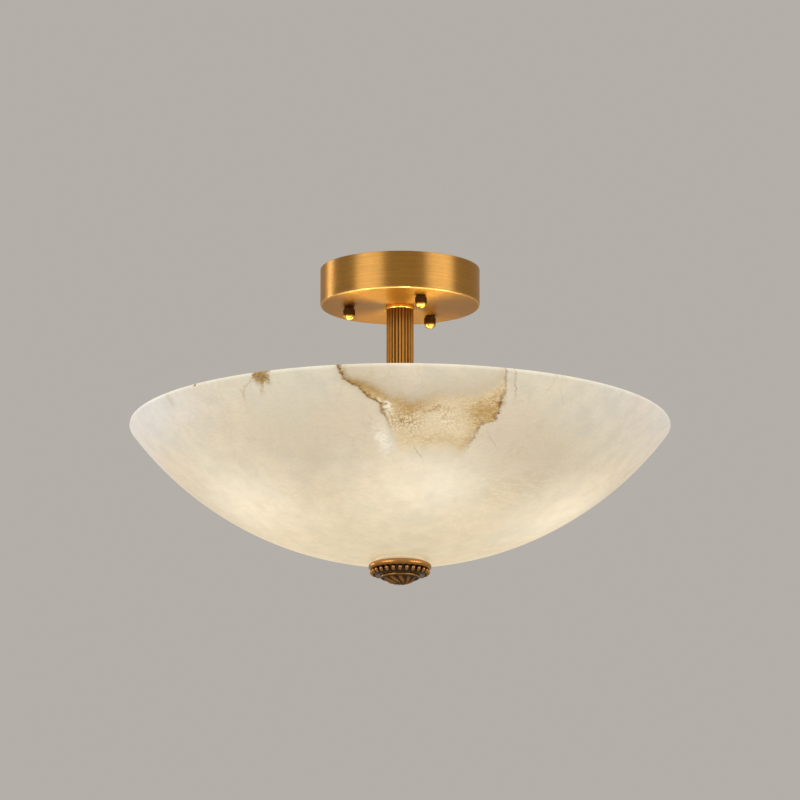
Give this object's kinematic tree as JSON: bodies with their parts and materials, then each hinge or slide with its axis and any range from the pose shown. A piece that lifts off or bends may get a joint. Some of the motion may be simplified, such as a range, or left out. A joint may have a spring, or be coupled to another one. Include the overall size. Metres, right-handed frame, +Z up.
{
  "type": "alabaster ceiling light",
  "caption": "Round ceiling light: a shallow alabaster bowl hung by a beaded finial from a reeded brass stem under a brass canopy held by knurled cap nuts.",
  "frame": {"origin": "centre of the ceiling bracket's screw circle, on the ceiling plane", "axes": "+Z up into the ceiling, so the light hangs towards -Z; +X to the right in the picture, which looks along +Y and a little upwards"},
  "size_m": [0.5, 0.5, 0.2984],
  "materials": {
    "alabaster": "polished, translucent and veined, lit from inside",
    "satin_brass": "brushed satin",
    "antique_brass": "antique, darkened in the hollows",
    "plated_steel": "zinc plated",
    "silicone": "milky and matt",
    "porcelain": "glazed",
    "bulb_glass": "frosted and lit",
    "white_plastic": "matt",
    "brown_wire": "smooth",
    "blue_wire": "smooth",
    "earth_wire": "green with a yellow stripe",
    "white_wire": "silicone sleeved"
  },
  "bodies": {
    "bracket": {"bracket_plate": "plated_steel", "bracket_studs": "plated_steel", "stud_lock_nuts": "plated_steel"},
    "fixture": {"canopy": "satin_brass", "backing_plate": "plated_steel", "pipe_lock_washer": "plated_steel", "pipe_top_nut": "plated_steel", "centre_pipe": "plated_steel", "stem_collar": "antique_brass", "reeded_stem": "antique_brass", "terminal_block": "white_plastic", "terminal_sleeves": "satin_brass", "terminal_screws": "plated_steel", "terminal_fixing_screw": "plated_steel", "earth_screw": "satin_brass", "earth_terminal": "plated_steel", "live_lead": "brown_wire", "neutral_lead": "blue_wire", "earth_lead": "earth_wire", "hub_body": "satin_brass", "hub_cover": "satin_brass", "hub_lock_nut": "plated_steel", "junction_block": "white_plastic", "arm_nuts": "plated_steel", "lamp_leads": "white_wire", "lamp_arm_1": "satin_brass", "lamp_arm_2": "satin_brass", "lamp_arm_3": "satin_brass", "lamp_arm_4": "satin_brass", "lamp_arm_5": "satin_brass", "lamp_cup_1": "satin_brass", "lamp_cup_2": "satin_brass", "lamp_cup_3": "satin_brass", "lamp_cup_4": "satin_brass", "lamp_cup_5": "satin_brass", "lampholder_1": "porcelain", "lampholder_2": "porcelain", "lampholder_3": "porcelain", "lampholder_4": "porcelain", "lampholder_5": "porcelain", "bowl_top_nut": "plated_steel", "bowl_top_washer": "plated_steel"},
    "bowl_set": {"bowl": "alabaster", "bowl_top_gasket": "silicone", "bowl_bottom_gasket": "silicone"},
    "finial": {"finial": "antique_brass"},
    "cap_nut_1": {"cap_nut_1": "satin_brass"},
    "cap_nut_2": {"cap_nut_2": "satin_brass"},
    "cap_nut_3": {"cap_nut_3": "satin_brass"},
    "bulb_1": {"bulb_1": "bulb_glass"},
    "bulb_2": {"bulb_2": "bulb_glass"},
    "bulb_3": {"bulb_3": "bulb_glass"},
    "bulb_4": {"bulb_4": "bulb_glass"},
    "bulb_5": {"bulb_5": "bulb_glass"}
  },
  "joints": [
    {"name": "fixture_drop", "type": "slide", "parent": "bracket", "child": "fixture", "axis": [0, 0, -1], "range_m": [0, 0.0084]},
    {"name": "cap_nut_1_turn", "type": "hinge", "parent": "fixture", "child": "cap_nut_1", "pos_m": [0.02792, 0.03843, -0.041], "axis": [0, 0, -1], "range_deg": [0, 4320]},
    {"name": "cap_nut_2_turn", "type": "hinge", "parent": "fixture", "child": "cap_nut_2", "pos_m": [-0.04724, 0.00496, -0.041], "axis": [0, 0, -1], "range_deg": [0, 4320]},
    {"name": "cap_nut_3_turn", "type": "hinge", "parent": "fixture", "child": "cap_nut_3", "pos_m": [0.01932, -0.04339, -0.041], "axis": [0, 0, -1], "range_deg": [0, 4320]},
    {"name": "bowl_drop", "type": "slide", "parent": "fixture", "child": "bowl_set", "axis": [0, 0, -1], "range_m": [0, 0.012]},
    {"name": "finial_turn", "type": "hinge", "parent": "bowl_set", "child": "finial", "pos_m": [0, 0, -0.285], "axis": [0, 0, -1], "range_deg": [0, 4320]},
    {"name": "bulb_1_pull", "type": "slide", "parent": "fixture", "child": "bulb_1", "axis": [0.1392, -0.9903, 0], "range_m": [0, 0.0125]},
    {"name": "bulb_2_pull", "type": "slide", "parent": "fixture", "child": "bulb_2", "axis": [0.9848, -0.1736, 0], "range_m": [0, 0.0125]},
    {"name": "bulb_3_pull", "type": "slide", "parent": "fixture", "child": "bulb_3", "axis": [0.4695, 0.8829, 0], "range_m": [0, 0.0125]},
    {"name": "bulb_4_pull", "type": "slide", "parent": "fixture", "child": "bulb_4", "axis": [-0.6947, 0.7193, 0], "range_m": [0, 0.0125]},
    {"name": "bulb_5_pull", "type": "slide", "parent": "fixture", "child": "bulb_5", "axis": [-0.8988, -0.4384, 0], "range_m": [0, 0.0125]}
  ],
  "couplings": [
    {"joint": "cap_nut_1_turn", "follows": "fixture_drop", "rad_per_m": 8976},
    {"joint": "cap_nut_2_turn", "follows": "fixture_drop", "rad_per_m": 8976},
    {"joint": "cap_nut_3_turn", "follows": "fixture_drop", "rad_per_m": 8976},
    {"joint": "finial_turn", "follows": "bowl_drop", "rad_per_m": 6283.2}
  ]
}
